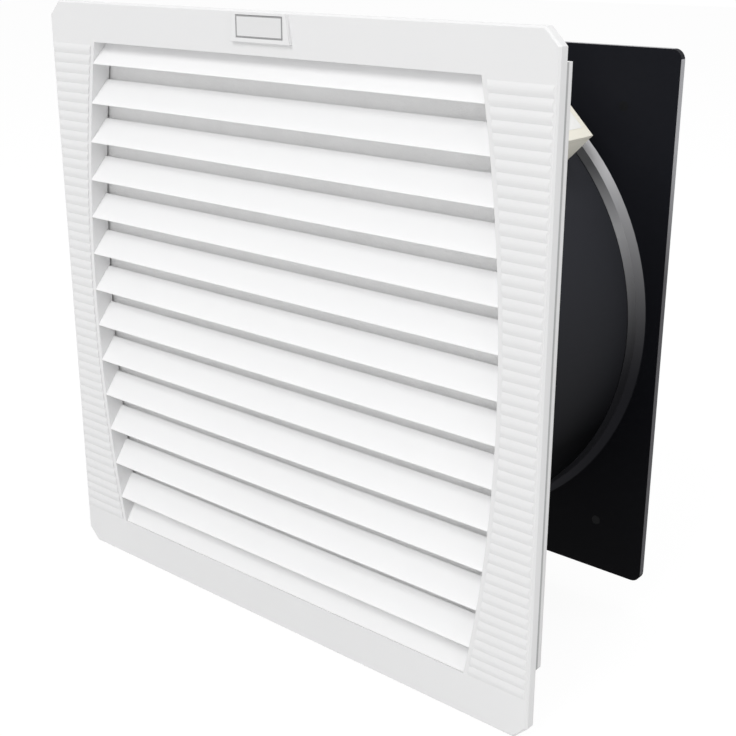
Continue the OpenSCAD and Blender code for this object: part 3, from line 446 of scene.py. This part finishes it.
@dataclass(frozen=True)
class CollarPlate:
    """Black coated plate, painted darker towards the bottom, with a satin metal collar carrying painted
    highlights and bare cut edges painted darker towards the bottom.
    """

    name: str
    shaded_foot: Colour
    lit_top: Colour
    rear: Colour
    metal: Colour
    inner_highlight: Colour
    edge_shaded_foot: Colour
    edge_lit_top: Colour
    roughness: float = 0.5
    specular: float = 0.05
    collar_mm: float = 129.2
    bend_mm: float = 131.1
    front_mm: float = 131.3
    edge_mm: float = 143.1
    # Heights in millimetres over which the painted shade and the painted highlights change
    paint_rise_mm: Rise = (-130.0, 90.0)
    sheen_rise_mm: Rise = (-45.0, 84.0)
    highlight_rise_mm: Rise = (-38.0, 55.0)
    highlight_fall_mm: Rise = (50.0, 84.0)
    edge_rise_mm: Rise = (30.0, 100.0)
    sheen_power: float = 2.6
    sheen_base: float = 0.92
    sheen_cloud: float = 0.16
    highlight_power: float = 2.5
    highlight_loss: float = 0.78
    paint_tint: float = 0.9
    cloud_tint: float = 0.1
    cloud_gloss: float = 0.10
    metal_gloss: float = 0.10
    peel_mm: float = 0.015
    bevel_mm: float = 0.2

    def make(self) -> bpy.types.Material:
        """Builds the material.

        Returns:
            The material.
        """
        bench = NodeBench(self.name)
        peel = bench.noise(PEEL_SCALE)
        cloud = bench.noise(CLOUD_SCALE, FINE)
        radius, height = bench.radius(), bench.axis("Z")
        ahead = bench.axis("Y").under(self.front_mm)
        flare = radius.over(self.bend_mm) * ahead
        inner = radius.over(self.collar_mm) * ahead * (1.0 - flare)
        # Painted highlight on the collar's flare: its colour turns from the rear colour to the metal
        # colour as it rises, with random streaks; the flare is metallic too
        streak = self.sheen_base + cloud * self.sheen_cloud
        sheen = height.rise(self.sheen_rise_mm).power(self.sheen_power) * streak
        # Painted highlight on the collar's inner slope: it rises with height and fades again near the top;
        # glow is its share
        fade = 1.0 - height.rise(self.highlight_fall_mm) * self.highlight_loss
        glow = height.rise(self.highlight_rise_mm).power(self.highlight_power) * fade
        rim = bench.axis("X").absolute().larger(height.absolute()).over(self.edge_mm)
        # Painted shade: the plate's paint is darker towards the bottom, with a random cloud
        light = height.rise(self.paint_rise_mm) * self.paint_tint + cloud * self.cloud_tint
        paint = bench.blend(light, self.shaded_foot, self.lit_top)
        paint = bench.blend(inner, paint, bench.blend(glow, self.rear, self.inner_highlight))
        paint = bench.blend(flare, paint, bench.blend(sheen, self.rear, self.metal))
        # The bare cut edge's own light colour, with painted shade making it darker towards the bottom
        edge = bench.blend(height.rise(self.edge_rise_mm), self.edge_shaded_foot, self.edge_lit_top)
        return bench.surface(
            {
                "Base Color": bench.blend(rim, paint, edge),
                "Metallic": flare,
                "Roughness": self.roughness + cloud.swing(self.cloud_gloss) - flare * self.metal_gloss,
                "Specular IOR Level": self.specular,
                "Normal": bench.bump(peel, self.peel_mm, self.bevel_mm),
            }
        )


@dataclass(frozen=True)
class Bare:
    """Bare or plated metal with fine working marks."""

    name: str
    colour: Colour
    shade: Colour
    roughness: float = 0.32
    marks: Stretch = Stretch.NONE
    marks_scale: float = 60.0
    marks_mm: float = 0.012
    cloud_scale: float = 30.0
    marks_tint: float = 0.5
    cloud_tint: float = 0.4
    marks_gloss: float = 0.22
    bevel_mm: float = 0.15

    def make(self) -> bpy.types.Material:
        """Builds the material.

        Returns:
            The material.
        """
        bench = NodeBench(self.name)
        marks = bench.noise(self.marks_scale, FINE, self.marks)
        cloud = bench.noise(self.cloud_scale)
        tint = marks * self.marks_tint + cloud * self.cloud_tint
        return bench.surface(
            {
                "Base Color": bench.blend(tint, self.colour, self.shade),
                "Metallic": 1.0,
                "Roughness": self.roughness + marks.swing(self.marks_gloss),
                "Normal": bench.bump(marks, self.marks_mm, self.bevel_mm),
            }
        )


@dataclass(frozen=True)
class Fleece:
    """Bonded filter fleece, a felt of fine white fibres."""

    name: str
    colour: Colour
    shade: Colour
    fibre_scale: float = 900.0
    fibre_detail: float = 4.0
    fibre_depth: float = 0.6
    clump_scale: float = 110.0
    depth_mm: float = 0.9
    roughness: float = 0.95
    specular: float = 0.1
    sheen: float = 0.25

    def make(self) -> bpy.types.Material:
        """Builds the material.

        Returns:
            The material.
        """
        bench = NodeBench(self.name)
        along = bench.noise(self.fibre_scale, self.fibre_detail, Stretch.FIBRE_X)
        across = bench.noise(self.fibre_scale, self.fibre_detail, Stretch.FIBRE_Z)
        fibre = along * 0.5 + across * 0.5
        clump = bench.noise(self.clump_scale, FINE)
        return bench.surface(
            {
                "Base Color": bench.blend(fibre * 0.5 + clump * 0.5, self.colour, self.shade),
                "Roughness": self.roughness,
                "Specular IOR Level": self.specular,
                "Sheen Weight": self.sheen,
                "Normal": bench.bump(fibre * self.fibre_depth + clump, self.depth_mm),
            }
        )


@dataclass(frozen=True)
class Foam:
    """Closed-cell foam or matt rubber."""

    name: str
    colour: Colour
    shade: Colour
    cells_scale: float = 1400.0
    depth_mm: float = 0.08
    roughness: float = 0.8
    specular: float = 0.3
    cloud_scale: float = 60.0
    cell_tint: float = 0.6
    cloud_tint: float = 0.4
    cloud_gloss: float = 0.15

    def make(self) -> bpy.types.Material:
        """Builds the material.

        Returns:
            The material.
        """
        bench = NodeBench(self.name)
        cell = bench.cells(self.cells_scale)
        cloud = bench.noise(self.cloud_scale)
        tint = cell * self.cell_tint + cloud * self.cloud_tint
        return bench.surface(
            {
                "Base Color": bench.blend(tint, self.colour, self.shade),
                "Roughness": self.roughness + cloud.swing(self.cloud_gloss),
                "Specular IOR Level": self.specular,
                "Normal": bench.bump(cell, self.depth_mm),
            }
        )


@dataclass(frozen=True)
class Winding:
    """Enamelled copper wire laid round the stator."""

    name: str
    colour: Colour
    shade: Colour
    wire_mm: float = 0.9
    depth_mm: float = 0.2
    metallic: float = 0.85
    roughness: float = 0.34
    gap_gloss: float = 0.2
    cloud_scale: float = 160.0
    turn_tint: float = 0.6
    cloud_tint: float = 0.4

    def make(self) -> bpy.types.Material:
        """Builds the material.

        Returns:
            The material.
        """
        bench = NodeBench(self.name)
        turn = bench.axis("Y").wave(self.wire_mm)
        cloud = bench.noise(self.cloud_scale)
        tint = turn * self.turn_tint + cloud * self.cloud_tint
        return bench.surface(
            {
                "Base Color": bench.blend(tint, self.shade, self.colour),
                "Metallic": self.metallic,
                "Roughness": self.roughness + (1.0 - turn) * self.gap_gloss,
                "Normal": bench.bump(turn, self.depth_mm),
            }
        )


@dataclass(frozen=True)
class Film:
    """Plain printed-label film with a faint paper tooth, and if it has a line colour, a dark border of
    painted shade for the groove round it.
    """

    name: str
    colour: Colour
    shade: Colour
    roughness: float = 0.35
    # Colour and width of the painted groove shade along the label's edges
    line: Optional[Colour] = None
    half_mm: float = 14.9
    line_mm: float = 0.5
    low_mm: float = 149.4
    high_mm: float = 159.2
    specular: float = 0.4
    tooth_scale: float = 700.0
    tooth_mm: float = 0.01
    tooth_tint: float = 0.2
    tooth_gloss: float = 0.12
    cloud_scale: float = 18.0
    cloud_tint: float = 0.5

    def make(self) -> bpy.types.Material:
        """Builds the material.

        Returns:
            The material.
        """
        bench = NodeBench(self.name)
        tooth = bench.noise(self.tooth_scale, FINE)
        cloud = bench.noise(self.cloud_scale)
        face = bench.blend(cloud * self.cloud_tint + tooth * self.tooth_tint, self.colour, self.shade)
        # Painted shade: a dark border along the label's edges, standing in for the shade in the groove
        # round it
        if self.line:
            side = bench.axis("X").absolute().over(self.half_mm - self.line_mm)
            shaded_foot = bench.axis("Z").under(self.low_mm + self.line_mm)
            head = bench.axis("Z").over(self.high_mm - self.line_mm)
            face = bench.blend(side.larger(shaded_foot).larger(head), face, self.line)
        return bench.surface(
            {
                "Base Color": face,
                "Roughness": self.roughness + tooth.swing(self.tooth_gloss),
                "Specular IOR Level": self.specular,
                "Normal": bench.bump(tooth, self.tooth_mm),
            }
        )


class Finishes:
    """All the finishes of the fan, each built once."""

    WHITE = Moulded("moulded_light_grey", linear(234, 234, 234), linear(229, 229, 230))
    # The frame carries a painted shadow strip on its side wall just behind the cover
    FRAME = Moulded(
        "moulded_frame", linear(234, 234, 234), linear(229, 229, 230), painted_shadow=linear(176, 176, 177)
    )
    SLAT = Moulded("moulded_slat", linear(250, 250, 250), linear(246, 246, 247), roughness=0.46)
    # The label's dark border line is painted shade for the groove round it
    LABEL = Film(
        "blank_grip_label", linear(229, 229, 229), linear(222, 222, 223), line=linear(158, 158, 159)
    )
    FLEECE = Fleece("filter_fleece", linear(252, 252, 252), linear(238, 238, 238))
    FOAM = Foam("gasket_foam", linear(58, 59, 61), linear(36, 37, 39))
    SPRING = Bare("spring_steel", linear(205, 207, 210), linear(170, 172, 176), marks=Stretch.ALONG_Y)
    ZINC = Bare("zinc_plate", linear(196, 200, 204), linear(160, 165, 170), roughness=0.36)
    SHEET = Coated("black_sheet", linear(14, 15, 17), linear(22, 22, 25), roughness=0.5, specular=0.14)
    # The drum's foot colour is painted shade, darker towards the bottom
    DRUM = Coated(
        "drum_coating",
        linear(55, 56, 61),
        linear(62, 63, 68),
        roughness=0.55,
        specular=0.03,
        shaded_foot=linear(10, 10, 12),
    )
    # The plate's colours carry painted shade towards the bottom and painted highlights on the collar
    PLATE = CollarPlate(
        "collar_plate",
        shaded_foot=linear(8, 8, 11),
        lit_top=linear(29, 30, 35),
        rear=linear(30, 30, 33),
        metal=linear(182, 182, 184),
        inner_highlight=linear(166, 166, 168),
        edge_shaded_foot=linear(86, 85, 88),
        edge_lit_top=linear(172, 172, 175),
    )
    WIRE = Coated("black_wire", linear(22, 22, 24), linear(32, 32, 34), roughness=0.30, specular=0.4)
    BLACK_SCREW = Coated("black_plate", linear(30, 31, 33), linear(48, 49, 52), roughness=0.36)
    CAST = Bare(
        "cast_aluminium",
        linear(200, 202, 204),
        linear(168, 170, 172),
        roughness=0.5,
        marks_scale=500.0,
        marks_mm=0.05,
    )
    CORE = Bare(
        "stacked_steel",
        linear(120, 122, 125),
        linear(78, 80, 82),
        roughness=0.42,
        marks=Stretch.ALONG_X,
        marks_scale=90.0,
        marks_mm=0.05,
    )
    COPPER = Winding("copper_winding", linear(212, 122, 62), linear(120, 60, 26))
    GROUND = Bare(
        "ground_steel",
        linear(214, 216, 218),
        linear(184, 186, 189),
        roughness=0.2,
        marks=Stretch.ALONG_X,
    )
    ROTOR = Coated("rotor_coating", linear(24, 25, 27), linear(40, 41, 44), roughness=0.4)
    BLADE = Coated("blade_coating", linear(38, 39, 43), linear(50, 52, 56), roughness=0.46, specular=0.2)
    CREAM = Moulded("moulded_cream", linear(249, 246, 234), linear(242, 238, 224), roughness=0.5)
    BLOCK = Moulded("moulded_block", linear(112, 126, 116), linear(92, 106, 97), roughness=0.5)
    BRASS = Bare("turned_brass", linear(214, 178, 96), linear(170, 132, 60), roughness=0.26)
    NYLON = Moulded("moulded_black", linear(44, 45, 47), linear(34, 35, 37), roughness=0.48)
    RUBBER = Foam(
        "matt_rubber", linear(32, 32, 33), linear(22, 22, 23), cells_scale=2600.0, depth_mm=0.02
    )
    SHEATH = Foam(
        "cable_sheath",
        linear(36, 36, 38),
        linear(26, 26, 28),
        cells_scale=3200.0,
        depth_mm=0.012,
        roughness=0.5,
    )
    CAN = Bare(
        "drawn_can",
        linear(220, 221, 223),
        linear(190, 192, 194),
        roughness=0.28,
        marks=Stretch.ALONG_Y,
    )
    FILM = Film("white_film", linear(252, 252, 250), linear(247, 247, 245))

    BY_NODE: Dict[str, Any] = {
        "base_frame": FRAME,
        "rear_plate": PLATE,
        "fan_tunnel": DRUM,
        "guard_studs": SHEET,
    }

    BY_SLOT: Dict[str, Any] = {
        "white_plastic": WHITE,
        "slat_plastic": SLAT,
        "label_stock": LABEL,
        "foam": FOAM,
        "spring_steel": SPRING,
        "zinc_steel": ZINC,
        "filter_fleece": FLEECE,
        "black_sheet": SHEET,
        "black_wire": WIRE,
        "black_screw": BLACK_SCREW,
        "cast_aluminium": CAST,
        "core_steel": CORE,
        "copper_wire": COPPER,
        "bearing_steel": GROUND,
        "black_rotor": ROTOR,
        "blade_metal": BLADE,
        "cream_plastic": CREAM,
        "block_plastic": BLOCK,
        "brass": BRASS,
        "black_nylon": NYLON,
        "black_rubber": RUBBER,
        "cable_sheath": SHEATH,
        "capacitor_case": CAN,
        "white_label": FILM,
    }

    def __init__(self) -> None:
        """Starts with no material built."""
        self.made: Dict[str, bpy.types.Material] = {}

    def get(self, slot: str) -> bpy.types.Material:
        """Gives a slot's material, and builds it on the first call.

        Args:
            slot: Name of the record's material slot.

        Returns:
            The material.
        """
        if slot not in self.made:
            self.made[slot] = self.BY_SLOT[slot].make()
        return self.made[slot]

    def of_node(self, node: str, slot: str) -> bpy.types.Material:
        """Gives a node's own material, or else its slot's.

        Args:
            node: Name of the node.
            slot: Name of the record's material slot.

        Returns:
            The material.
        """
        if node not in self.BY_NODE:
            return self.get(slot)
        if node not in self.made:
            self.made[node] = self.BY_NODE[node].make()
        return self.made[node]


class Assembly:
    """What all the sub-assemblies share: dressing frame nodes and adding pieces."""

    def __init__(self, frame: Dict[str, Any], finishes: Finishes) -> None:
        """Keeps the frame and the finishes.

        Args:
            finishes: The finishes of the fan.
        """
        self.frame = frame
        self.finishes = finishes
        self.slots = {row["node"]: row["material_slot"] for row in frame["record"]["subparts"]}

    def dress(self, *nodes: str) -> None:
        """Gives frame nodes their finish.

        Args:
            nodes: Names of the nodes.
        """
        for name in nodes:
            thing = self.frame["nodes"][name]
            thing.data.materials.clear()
            thing.data.materials.append(self.finishes.of_node(name, self.slots[name]))
            log.info("dressed %s", name)

    def piece(self, name: str, mesh: bmesh.types.BMesh, slot: str, body: str) -> bpy.types.Object:
        """Turns a bmesh into a finished piece that rides on a body.

        Args:
            name: Name of the piece.
            mesh: Its shape, with its place in the mesh.
            slot: Material slot that its finish comes from.
            body: Body that it rides on.

        Returns:
            The piece.
        """
        data = bpy.data.meshes.new(name)
        mesh.to_mesh(data)
        mesh.free()
        thing = bpy.data.objects.new(name, data)
        bpy.context.scene.collection.objects.link(thing)
        data.materials.append(self.finishes.get(slot))
        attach(thing, body)
        log.info("built %s with %d faces", name, len(data.polygons))
        return thing


@dataclass
class FilterMat:
    """The soft mat behind the louvre, with a felted, slightly uneven face."""

    shop: Assembly
    steps: int = 90
    edge_mm: float = 0.5
    rounding: float = 4.0
    wave_mm: float = 0.7
    waves_per_metre: float = 70.0
    seed: int = 11

    def build(self) -> None:
        """Makes the mat where the plain solid is, and stands for it."""
        low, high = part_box("filter_mat")
        low, high = Vector(low), Vector(high)
        size, middle = high - low, (high + low) / 2
        mesh = bmesh.new()
        bmesh.ops.create_grid(mesh, x_segments=self.steps, y_segments=self.steps, size=0.5)
        skin = bmesh.ops.extrude_face_region(mesh, geom=mesh.faces[:])
        raised = [part for part in skin["geom"] if isinstance(part, bmesh.types.BMVert)]
        bmesh.ops.translate(mesh, verts=raised, vec=(0.0, 0.0, 1.0))
        bmesh.ops.translate(mesh, verts=mesh.verts[:], vec=(0.0, 0.0, -0.5))
        bmesh.ops.scale(mesh, verts=mesh.verts[:], vec=(size.x, size.z, size.y))
        bmesh.ops.rotate(mesh, verts=mesh.verts[:], matrix=Matrix.Rotation(math.radians(90), 3, "X"))
        bmesh.ops.recalc_face_normals(mesh, faces=mesh.faces[:])
        half, edge = size / 2, self.edge_mm * MM
        for vert in mesh.verts:
            inset = min(half.x - abs(vert.co.x), half.z - abs(vert.co.z))
            round_off = max(0.0, 1.0 - inset / (self.rounding * edge)) ** 2 * edge
            wave = noise.noise(vert.co * self.waves_per_metre + Vector((self.seed, 0, 0))) * 0.5 + 0.5
            side = 1.0 if vert.co.y > 0 else -1.0
            vert.co.y -= side * (round_off + wave * self.wave_mm * MM)
        bmesh.ops.translate(mesh, verts=mesh.verts[:], vec=middle)
        mat = self.shop.piece("filter_mat_fleece", mesh, "filter_fleece", "frame")
        for polygon in mat.data.polygons:
            polygon.use_smooth = True
        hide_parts("filter_mat")


@dataclass
class SubAssembly:
    """Frame nodes that belong together and are dressed together."""

    shop: Assembly
    nodes: Tuple[str, ...] = ()

    def build(self) -> None:
        """Dresses the nodes."""
        self.shop.dress(*self.nodes)


@dataclass
class FrontCover(SubAssembly):
    """The hinged louvre cover: its moulding, its slats, the blank grip label and the hinge pins."""

    nodes: Tuple[str, ...] = ("cover", "louvre_slats", "blank_label", "hinge_pins")


@dataclass
class WallFrame(SubAssembly):
    """The frame that sits in the wall's cutout, with its gasket, clips and the mat's grid."""

    nodes: Tuple[str, ...] = ("base_frame", "panel_gasket", "panel_clips", "clip_screws", "support_grid")

    def build(self) -> None:
        """Dresses the nodes and makes the soft mat that lies between them."""
        super().build()
        FilterMat(self.shop).build()


@dataclass
class FanHousing(SubAssembly):
    """The round sheet-metal housing, its rear plate and the wire guard."""

    nodes: Tuple[str, ...] = (
        "fan_tunnel",
        "tunnel_screws",
        "rear_plate",
        "guard_bars",
        "guard_rings",
        "guard_studs",
        "guard_nuts",
    )


@dataclass
class Drive(SubAssembly):
    """The external-rotor motor on its spider, and the impeller that it turns."""

    nodes: Tuple[str, ...] = (
        "motor_spider",
        "spider_screws",
        "motor_flange",
        "motor_screws",
        "stator_core",
        "stator_windings",
        "front_bearing",
        "rear_bearing",
        "rotor_can",
        "rotor_cage",
        "rotor_shaft",
        "shaft_clip",
        "impeller_hub",
        "fan_blades",
        "lead_grommet",
        "motor_cable",
    )


@dataclass
class TerminalBox(SubAssembly):
    """The cream terminal box with its hinged lid, its block and its cable gland."""

    nodes: Tuple[str, ...] = (
        "terminal_box",
        "box_screws",
        "terminal_block",
        "terminal_screws",
        "cable_gland",
        "gland_nut",
        "lid_pin",
        "terminal_lid",
        "lid_label",
    )


@dataclass
class Capacitor(SubAssembly):
    """The run capacitor in its spring clip, with its lead."""

    nodes: Tuple[str, ...] = ("run_capacitor", "capacitor_clip", "capacitor_lead")


@dataclass(frozen=True)
class Lamp:
    """A square soft lamp, in metres and watts."""

    name: str
    place: Point
    target: Point
    size: float
    power: float

    def build(self) -> None:
        """Adds the lamp."""
        data = bpy.data.lights.new(self.name, "AREA")
        data.shape = "SQUARE"
        data.size = self.size
        data.energy = self.power
        thing = bpy.data.objects.new(self.name, data)
        turn = (Vector(self.place) - Vector(self.target)).to_track_quat("Z", "Y").to_matrix().to_4x4()
        thing.matrix_world = Matrix.Translation(self.place) @ turn
        bpy.context.scene.collection.objects.link(thing)


class Studio:
    """Camera, lamps, floor and backdrop."""

    EYE_MM: Point = (418.36, -426.40, 194.20)
    AIM_DEG: Point = (40.38, 18.71, 0.03)
    SENSOR_MM: float = 36.0
    PHOTO_PX: float = 736.0
    FOCAL_PX: float = 1234.2
    CENTRE_PX: Tuple[float, float] = (363.55, 354.07)
    CLIP: Tuple[float, float] = (0.01, 30.0)
    LAMPS: Tuple[Lamp, ...] = (
        Lamp("key", (-0.05, -2.1, 2.1), (0.0, 0.0, 0.0), size=1.5, power=33.0),
        Lamp("front", (0.35, -2.3, 0.1), (0.0, 0.0, -0.05), size=1.2, power=4.5),
        Lamp("overhead", (0.55, 0.25, 1.5), (0.0, 0.08, 0.0), size=1.0, power=7.0),
        Lamp("side", (2.0, -0.3, 1.0), (0.0, 0.05, 0.0), size=1.2, power=4.5),
    )
    FILL: float = 0.52
    BACKDROP: float = 1.0
    FLOOR_HALF: float = 6.0
    FLOOR_MATT: Colour = (0.82, 0.82, 0.82)
    FLOOR_WHITE: float = 1.07
    FLOOR_SHARE: float = 0.86
    SEEN: Tuple[str, str, str] = ("Is Camera Ray", "Is Glossy Ray", "Is Transmission Ray")

    def __init__(self, floor_z: float) -> None:
        """Keeps the floor's height, in metres."""
        self.floor_z = floor_z

    def camera(self) -> None:
        """Puts the camera where the photograph was taken from."""
        azimuth, elevation, roll = map(math.radians, self.AIM_DEG)
        away = Vector(
            (
                math.sin(azimuth) * math.cos(elevation),
                -math.cos(azimuth) * math.cos(elevation),
                math.sin(elevation),
            )
        )
        data = bpy.data.cameras.new("view")
        data.sensor_width = self.SENSOR_MM
        data.lens = self.FOCAL_PX * self.SENSOR_MM / self.PHOTO_PX
        data.shift_x = 0.5 - self.CENTRE_PX[0] / self.PHOTO_PX
        data.shift_y = self.CENTRE_PX[1] / self.PHOTO_PX - 0.5
        data.clip_start, data.clip_end = self.CLIP
        eye = bpy.data.objects.new("view", data)
        turn = away.to_track_quat("Z", "Y").to_matrix().to_4x4() @ Matrix.Rotation(roll, 4, "Z")
        eye.matrix_world = Matrix.Translation(Vector(self.EYE_MM) * MM) @ turn
        bpy.context.scene.collection.objects.link(eye)
        bpy.context.scene.camera = eye

    def world(self) -> None:
        """Gives an even fill and a white backdrop."""
        world = bpy.data.worlds.new("studio")
        bpy.context.scene.world = world
        world.use_nodes = True
        tree = world.node_tree
        tree.nodes.clear()
        path = tree.nodes.new("ShaderNodeLightPath")
        seen = Wire(tree, path.outputs[self.SEEN[0]])
        for name in self.SEEN[1:]:
            seen = seen.larger(Wire(tree, path.outputs[name]))
        strength = tree.nodes.new("ShaderNodeMapRange")
        strength.inputs["To Min"].default_value = self.FILL
        strength.inputs["To Max"].default_value = self.BACKDROP
        tree.links.new(seen.socket, strength.inputs["Value"])
        back = tree.nodes.new("ShaderNodeBackground")
        back.inputs["Color"].default_value = (1.0, 1.0, 1.0, 1.0)
        tree.links.new(strength.outputs[0], back.inputs["Strength"])
        out = tree.nodes.new("ShaderNodeOutputWorld")
        tree.links.new(back.outputs[0], out.inputs[0])

    def floor(self) -> None:
        """Lays the pale floor that keeps a faint shadow."""
        mesh = bmesh.new()
        bmesh.ops.create_grid(mesh, x_segments=1, y_segments=1, size=self.FLOOR_HALF)
        bmesh.ops.translate(mesh, verts=mesh.verts[:], vec=(0.0, 0.0, self.floor_z))
        data = bpy.data.meshes.new("floor")
        mesh.to_mesh(data)
        mesh.free()
        thing = bpy.data.objects.new("floor", data)
        bpy.context.scene.collection.objects.link(thing)
        bench = NodeBench("pale_floor")
        path = bench.add("ShaderNodeLightPath")
        matt = bench.add("ShaderNodeBsdfDiffuse", inputs={"Color": self.FLOOR_MATT})
        glow = {"Color": (1.0, 1.0, 1.0), "Strength": self.FLOOR_WHITE}
        white = bench.add("ShaderNodeEmission", inputs=glow)
        camera, glossy, through = (Wire(bench.tree, path.outputs[name]) for name in self.SEEN)
        share = (camera + glossy + through).clamped() * self.FLOOR_SHARE
        mix = bench.add("ShaderNodeMixShader", inputs={0: share, 1: matt.outputs[0], 2: white.outputs[0]})
        bench.add("ShaderNodeOutputMaterial", inputs={0: mix.outputs[0]})
        data.materials.append(bench.material)

    def build(self) -> None:
        """Sets up the whole studio."""
        bpy.context.scene.view_settings.view_transform = "Standard"
        self.camera()
        for lamp in self.LAMPS:
            lamp.build()
        self.world()
        self.floor()


def main() -> None:
    """Builds the fan's looks, sub-assembly by sub-assembly."""
    logging.basicConfig(level=logging.INFO, format="%(name)s: %(message)s")
    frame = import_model()
    shop = Assembly(frame, Finishes())
    for part in (FrontCover, WallFrame, FanHousing, Drive, TerminalBox, Capacitor):
        part(shop).build()
        log.info("finished %s", part.__name__)
    Studio(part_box("cover")[0][2]).build()


if __name__ == "__main__":
    main()
